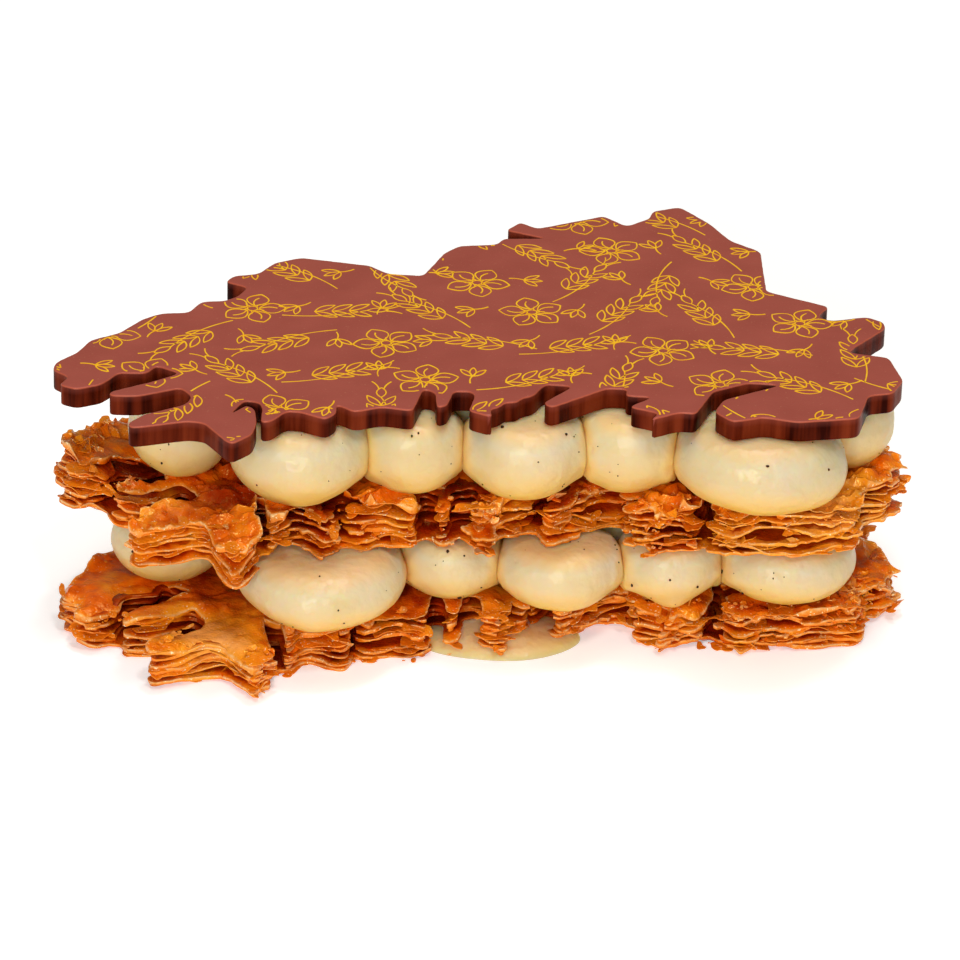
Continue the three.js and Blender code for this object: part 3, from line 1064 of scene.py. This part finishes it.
def crust_relief(plan, sheet, seed):
    """Blisters and wrinkles on the baked top of a sheet."""
    wrinkled = sheet["wrinkles"] * smooth_step(0.8 + 1.3 * noise(plan, 15, seed + 14))
    relief = (0.6 + 0.6 * sheet["wrinkles"]) * np.abs(noise(plan, 5.8, seed + 6)) - 0.45
    relief = relief + wrinkled * (0.5 - 1.5 * np.abs(noise(plan, 3.2, seed + 7)))
    relief = relief + wrinkled * (0.2 - 0.8 * np.abs(noise(plan, 1.7, seed + 10)))
    return CRUST_RELIEF * (1 - CALMING * calmness(plan, sheet)) * relief


def add_leaf(shape, depth, fields, hidden, points, sheet, height, leaf):
    """One leaf of a sheet, with painted shade by how far the leaves above and below reach over it."""
    count = sheet["leaves"]
    crust = leaf == count - 1
    seed = part_seed(sheet, leaf)
    field = fields[leaf]
    plan, triangles = filled_field(field, points, seed, CRUST_ROWS if crust else LEAF_ROWS)
    triangles = largest_part(triangles, len(plan))
    inside = np.maximum(field.at(plan), 0)
    low = stratum(plan, leaf / count, height, sheet)
    high = stratum(plan, (leaf + 1) / count, height, sheet)
    reach = 3.6 + 2.2 * noise(plan, 4.5, seed + 2) + void_depth(plan, sheet)
    filled = smooth_step((inside - 0.3 * reach) / reach)
    loose = waves(plan, LOOSE_WAVES, seed)
    loose = loose + 0.55 * noise(plan, 7, seed + 4) * np.exp(-inside / 1.5)
    middle = (low + high) / 2 + (1 - filled) * loose
    thin = LEAF_THICKNESS / 2 * (1 + 0.6 * noise(plan, 3.2, seed + 5))
    thin = thin * (1 + 0.3 * chance(sheet["seed"] + 1, leaf))
    thin = thin * (0.65 + 0.35 * smooth_step(inside / 0.8))
    thin = np.minimum(thin, 0.48 * np.maximum(high - low, 0.25))
    under = middle - thin + filled * (low - LEAF_OVERLAP - middle + thin)
    over = middle + thin + filled * (high + LEAF_OVERLAP - middle - thin)
    rim = np.exp(-inside / RIM_WIDTH)
    # Painted shade in notches and torn gaps
    in_light = 1 - HIDDEN_SHARE * hidden.at(plan)
    if crust:
        droop = CRUST_DROOP * smooth_step(0.5 + 1.3 * noise(plan, 8, seed + 15)) - 0.3
        droop = droop * np.exp(-inside / 1.0)
        over = high - droop - 0.2 * np.exp(-inside / 0.5) + crust_relief(plan, sheet, seed)
        under = under - droop
        # Painted shade on the crust further in from its rim, under the cream
        shelter = np.exp(-np.maximum(depth.at(plan) - SHELTER_START, 0) / 3)
        above = DEEP_VALUE + OPEN_VALUE * shelter + RIM_VALUE * rim
    else:
        # Painted shade where the leaf above covers this one; open parts and rims are lighter
        open_above = smooth_step(1 - fields[leaf + 1].at(plan) / 0.5)
        above = DEEP_VALUE + open_above * (OPEN_VALUE + RIM_VALUE * rim)
        above = above + 0.5 * (1 - open_above) * rim
        above = above * in_light
    below = (DEEP_VALUE + 0.5 * rim) * in_light
    under = np.maximum(under, 0)
    over = np.maximum(over, under + LEAST_THICKNESS)
    shape.add_slab(plan, triangles, under, over, above, below)


def add_shred(shape, depth, hidden, points, sheet, height, number):
    """Scraps of a thin leaf that stand out of the sheet's sides here and there."""
    seed = part_seed(sheet, FIRST_SHRED + number)
    share = (number + 0.5) / SHREDS_A_SHEET
    outer = ragged(depth, points, seed, SHRED_ROUGHNESS) + 0.45
    inner = 2.6 - depth.values.ravel()
    present = 2.2 * (noise(points, 5.5, seed + 2) - SHRED_SHARE)
    inside = np.minimum(np.minimum(outer, inner), present) - 2 * hidden.values.ravel()
    plan, triangles = filled_field(depth.like(inside), points, seed, SHRED_ROWS)
    level = stratum(plan, share, height, sheet)
    curl = 0.9 * noise(plan, 3.4, seed + 3) * smooth_step(1 - depth.at(plan) / 1.6)
    level = np.clip(level + curl, LEAST_THICKNESS, height)
    low = level - SHRED_HALF_THICKNESS
    high = level + SHRED_HALF_THICKNESS
    shape.add_slab(plan, triangles, low, high, np.full(len(plan), SHRED_VALUE))


def add_flake(shape, place, size, slant, draw):
    """A thin curled chip with a ragged rim, tipped up to the given angle."""
    around = turns(FLAKE_SIDES)
    reach = size * draw.uniform(0.35, 1.15, FLAKE_SIDES)
    x = reach * np.cos(around)
    level = draw.uniform(-0.5, 0.5) * x ** 2 / size
    level += draw.uniform(-0.12, 0.12, FLAKE_SIDES)
    rim = np.column_stack([x, 0.7 * reach * np.sin(around), level])
    half = np.array([0, 0, FLAKE_THICKNESS / 2])
    tip = Matrix.Rotation(draw.uniform(-slant, slant), 3, "X")
    tip = Matrix.Rotation(draw.uniform(0, 2 * math.pi), 3, "Z") @ tip
    corners = np.concatenate([[-half], rim - half, rim + half, [half]]) @ np.array(tip).T + place
    corners[:, 2] = np.maximum(corners[:, 2], FLOOR_CLEARANCE)
    values = np.full(len(corners), draw.uniform(0.45, 0.95))
    shape.add(corners, *globe_faces(FLAKE_SIDES, 2), values=values)


def add_flakes(shape, outline, hidden, sheet, height):
    """Chips that stand off the rim of the crust and out of the torn sides."""
    draw = np.random.default_rng(sheet["seed"])
    rim = resampled(outline, 0.4)
    outward = outward_normals(rim)
    chosen = list(draw.choice(len(rim), FLAKES_A_SHEET, replace=False))
    for x, y, reach, count in sheet["crumbly"]:
        near = np.flatnonzero(((rim - (x, y)) ** 2).sum(axis=1) < reach ** 2)
        chosen += list(draw.choice(near, count))
    for number, index in enumerate(chosen):
        growth, slant = (1, 0.7) if number < FLAKES_A_SHEET else (1.4, 1.3)
        size = growth * (0.4 + 1.1 * draw.uniform() ** 2)
        if draw.uniform() < CRUST_FLAKE_SHARE:
            inset = draw.uniform(0.4, 4)
            level = height + draw.uniform(-0.05, 0.3)
        else:
            inset = draw.uniform(0.0, 0.9)
            level = height * draw.uniform(0.08, 1)
        plan = rim[index] - outward[index] * inset
        if hidden.at(plan[None])[0] < FLAKE_SHELTER:
            add_flake(shape, (*plan, level), size, slant, draw)


def pastry_sheet(node, sheet, level, height):
    outline = pastry_outline()
    depth, points = depth_field(outline, LEAF_GRID, margin=NOTCH_REACH + 1)
    notches = notch_depth(depth, points)
    cut = cut_gaps(depth, points, sheet["gaps"])
    # How far back in a notch or torn gap each point lies: it sets painted shade there and keeps flakes
    # and shreds out
    in_gap = smooth_step((depth.values - cut.values - 0.5) / 1.5)
    hidden = depth.like(np.maximum(smooth_step(notches.values / 2.5), in_gap))
    leaves, shreds, flakes = Shape(), Shape(), Shape()
    fields = [
        leaf_field(depth if leaf < GAP_FLOORS else cut, notches, points, sheet, leaf)
        for leaf in range(sheet["leaves"])
    ]
    for leaf in range(sheet["leaves"]):
        add_leaf(leaves, depth, fields, hidden, points, sheet, height, leaf)
    for number in range(SHREDS_A_SHEET):
        add_shred(shreds, cut, hidden, points, sheet, height, number)
    add_flakes(flakes, outline, hidden, sheet, height)
    for shape in (leaves, shreds, flakes):
        laid(shape, sheet, level, height)
    leaves.piece(f"{node}_leaves", PASTRY, "pastry", [node], FACET_ANGLE)
    shreds.piece(f"{node}_shreds", PASTRY, "pastry")
    flakes.piece(f"{node}_flakes", PASTRY, "pastry", sharp_angle=20)


# Cream
FULL_TOP = 0.42
CREASE_OVERLAP = 0.15
CREASE_WIDTH = 3.0
CREASE_FILL = 1.5
# Reach of the painted contact shade, and its strength near a ball's top and bottom
CONTACT_REACH = 3.2
TOP_CONTACT = 0.5
BOTTOM_CONTACT = 0.7
FLAT_BLEND = 1.2
BALL_SIDES = 80
BALL_RINGS = 44
BALL_WAVES = ((0.35, 7, 3), (0.12, 2.6, 4))
FILLING_ROUNDING = 2


def cream_ball(ball, others, lobes, low, high):
    """Corners of a ball flat above and below, and how near each is to what presses on the ball, which
    sets its painted shade.
    """
    x, y, radius = ball
    height = high - low
    upward = -math.pi / 2 + math.pi * np.arange(1, BALL_RINGS) / BALL_RINGS
    upward, around = np.meshgrid(upward, turns(BALL_SIDES), indexing="ij")
    fullness = np.cos(upward) ** (1 - FULL_TOP * smooth_step(upward / 0.5))
    pole = height / 2 * BALL_FLATTENING
    points = np.stack([
        radius * fullness * np.cos(around), radius * fullness * np.sin(around),
        pole * np.sin(upward),
    ], axis=-1).reshape(-1, 3)
    points = np.concatenate([[(0, 0, -pole)], points, [(0, 0, pole)]])
    spot = points + (x, y, low)
    swell = waves(spot, BALL_WAVES, 0)
    directions = points / np.linalg.norm(points, axis=1)[:, None]
    for azimuth, elevation, spread, push in lobes:
        azimuth, elevation = math.radians(azimuth), math.radians(elevation)
        toward = np.array([
            math.cos(azimuth) * math.cos(elevation), math.sin(azimuth) * math.cos(elevation),
            math.sin(elevation),
        ])
        apart = np.degrees(np.arccos(np.clip(directions @ toward, -1, 1)))
        swell = swell + push * np.exp(-(apart / spread) ** 2)
    points *= (1 + swell / radius)[:, None]
    # Painted shade near the flat top and bottom, and at the creases
    contact_shade = smooth_step(1 - (height / 2 - np.abs(points[:, 2])) / CONTACT_REACH)
    contact_shade = contact_shade * np.where(points[:, 2] > 0, TOP_CONTACT, BOTTOM_CONTACT)
    for other_x, other_y, other_radius in others:
        distance = math.hypot(other_x - x, other_y - y)
        if 0 < distance < radius + other_radius:
            crease = (distance ** 2 + radius ** 2 - other_radius ** 2) / (2 * distance)
            toward = np.array([other_x - x, other_y - y, 0]) / distance
            reach = points @ toward
            beside = np.clip(1 - (crease - reach) / CREASE_WIDTH, 0, 1) ** 2
            across = points - np.outer(reach, toward)
            across /= np.maximum(np.linalg.norm(across, axis=1), 1)[:, None]
            points += np.outer(np.minimum(reach, crease + CREASE_OVERLAP) - reach, toward)
            fill = CREASE_FILL * (1 + 0.35 * noise(spot, 1.5, 6))
            points += across * (beside * fill)[:, None]
            contact_shade = np.maximum(contact_shade, beside)
    flat = smooth_minimum(np.abs(points[:, 2]), height / 2, FLAT_BLEND)
    points[:, 2] = np.sign(points[:, 2]) * flat
    return points, contact_shade


def cream_layer(layer, balls, lobes, low, high, specks):
    faces = globe_faces(BALL_SIDES, BALL_RINGS - 1)
    for index, ball in enumerate(balls):
        points, contact_shade = cream_ball(ball, balls, lobes.get(index + 1, ()), low, high)
        place = np.array([*(np.array(ball[:2]) + PLAN_ORIGIN), (low + high) / 2])
        shape = Shape()
        shape.add(points + place, *faces, values=contact_shade)
        node = f"{layer}_ball_{index + 1:02d}"
        shape.piece(f"{node}_piped", CREAM, "cream", [node], 180)
        add_specks(specks, points, place, ball, 10 * index + int(low))


def cream_core(layer, low, high):
    """The filling behind the balls, with soft sides."""
    node = f"{layer}_core"
    rim = resampled(top_rim(node), 1.0)
    inner = lattice(rim, 2.0, 7)
    plan, triangles = filled_outline(rim, inner[depth_inside(inner, rim) > 0.7])
    depth = np.clip(depth_inside(plan, rim), 0, FILLING_ROUNDING)
    depth[:len(rim)] = 0
    drop = FILLING_ROUNDING - np.sqrt(FILLING_ROUNDING ** 2 - (FILLING_ROUNDING - depth) ** 2)
    drop = drop + 0.2 * (1 + noise(plan, 5, 8))
    shape = Shape()
    shape.add_slab(plan, triangles, low + drop, high - drop)
    shape.piece(f"{layer}_filling", CREAM, "cream", [node])


SPECK_RADIUS = 0.27
SPECKS_A_BALL = 34
PEBBLE_SIDES = 6
PEBBLE_RINGS = (-0.7, 0.0, 0.7)


def add_specks(specks, points, place, ball, seed):
    """Tiny seeds of vanilla, half sunk in a ball's skin."""
    radius = ball[2]
    outside = np.flatnonzero(
        (np.linalg.norm(points[:, :2], axis=1) > 0.8 * radius) | (np.abs(points[:, 2]) > 2)
    )
    draw = np.random.default_rng(seed)
    for index in draw.choice(outside, SPECKS_A_BALL, replace=False):
        size = SPECK_RADIUS * (0.35 + 0.9 * draw.uniform() ** 2.5)
        add_pebble(specks, points[index] + place, size * draw.uniform(0.7, 1.3, 3))


def add_pebble(shape, place, radii):
    """A small rounded grain."""
    rings = []
    for upward in PEBBLE_RINGS:
        around = turns(PEBBLE_SIDES) + upward
        rings.append(np.stack([
            math.cos(upward) * np.cos(around), math.cos(upward) * np.sin(around),
            np.full(PEBBLE_SIDES, math.sin(upward)),
        ], axis=1))
    corners = np.concatenate([[(0, 0, -1)], *rings, [(0, 0, 1)]]) * radii + place
    shape.add(corners, *globe_faces(PEBBLE_SIDES, len(PEBBLE_RINGS)))


DAB_SIDES = 96
DAB_RINGS = 20
# Share of the cream's painted ochre shade on the dab
DAB_SHADE = 0.5


def cream_dab():
    """A low puddle of cream squeezed out from under the bottom sheet, with some of the cream's painted
    ochre shade.
    """
    around = turns(DAB_SIDES)
    wobble = 1 + 0.015 * np.cos(3 * around + 1) - 0.015 * (1 - np.cos(5 * around))
    rows = [[(0, 0, 0)]]
    for ring in range(DAB_RINGS, 0, -1):
        reach = ring / DAB_RINGS
        x = DAB["width"] / 2 * reach * np.cos(around) * wobble
        y = DAB["depth"] / 2 * reach * np.sin(around) * wobble
        z = DAB["height"] * (1 - reach ** 2) ** 0.6
        rows.append(np.column_stack([x, y, np.full(DAB_SIDES, z)]))
    rows.append([(0, 0, DAB["height"])])
    corners = np.concatenate(rows)
    corners = corners + (*(np.array([DAB["x"], DAB["y"]]) + PLAN_ORIGIN), 0)
    shape = Shape()
    values = np.full(len(corners), DAB_SHADE)
    shape.add(corners, *globe_faces(DAB_SIDES, DAB_RINGS), values=values)
    shape.piece("cream_dab_soft", CREAM, "cream", ["cream_dab"], 60)


# Stage
def stage():
    bpy.ops.mesh.primitive_plane_add(size=FLOOR_SIZE)
    floor = bpy.context.object
    floor.name = "pale_floor"
    floor.data.materials.append(floor_material())
    world = bpy.data.worlds.new("soft_studio")
    world.use_nodes = True
    background = world.node_tree.nodes["Background"]
    background.inputs["Color"].default_value = (*WORLD_COLOUR, 1)
    background.inputs["Strength"].default_value = WORLD_BRIGHTNESS
    bpy.context.scene.world = world
    for name, place, target, size, power in LIGHTS:
        light = bpy.data.lights.new(name, "AREA")
        light.shape = "RECTANGLE"
        light.size = size[0] * MM
        light.size_y = size[1] * MM
        light.energy = power
        lamp = placed(name, light)
        lamp.location = Vector(place) * MM
        lamp.rotation_mode = "QUATERNION"
        aim = Vector(target) - Vector(place)
        lamp.rotation_quaternion = aim.to_track_quat("-Z", "Y")


def camera():
    data = bpy.data.cameras.new("photo_camera")
    data.lens = CAMERA_LENS
    data.clip_start = 0.05
    data.clip_end = 20
    made = placed("photo_camera", data)
    made.matrix_world = (
        Matrix.Translation(Vector(CAMERA_PLACE) * MM)
        @ Matrix.Rotation(math.pi / 2 - CAMERA_PITCH, 4, "X")
        @ Matrix.Rotation(CAMERA_ROLL, 4, "Z")
    )
    bpy.context.scene.camera = made
    bpy.context.scene.view_settings.view_transform = "Standard"


camera()
stage()
chocolate_plate()
gold_print()
pastry_sheet("pastry_bottom", BOTTOM_SHEET, 0, lower_cream_bottom)
middle_pastry_height = upper_cream_bottom - lower_cream_top
pastry_sheet("pastry_middle", MIDDLE_SHEET, lower_cream_top, middle_pastry_height)
vanilla = Shape()
cream_layer("upper_cream", UPPER_BALLS, UPPER_LOBES, upper_cream_bottom, upper_cream_top, vanilla)
cream_layer("lower_cream", LOWER_BALLS, LOWER_LOBES, lower_cream_bottom, lower_cream_top, vanilla)
cream_core("upper_cream", upper_cream_bottom, upper_cream_top)
cream_core("lower_cream", lower_cream_bottom, lower_cream_top)
vanilla.piece("vanilla_specks", SPECK, "cream")
cream_dab()
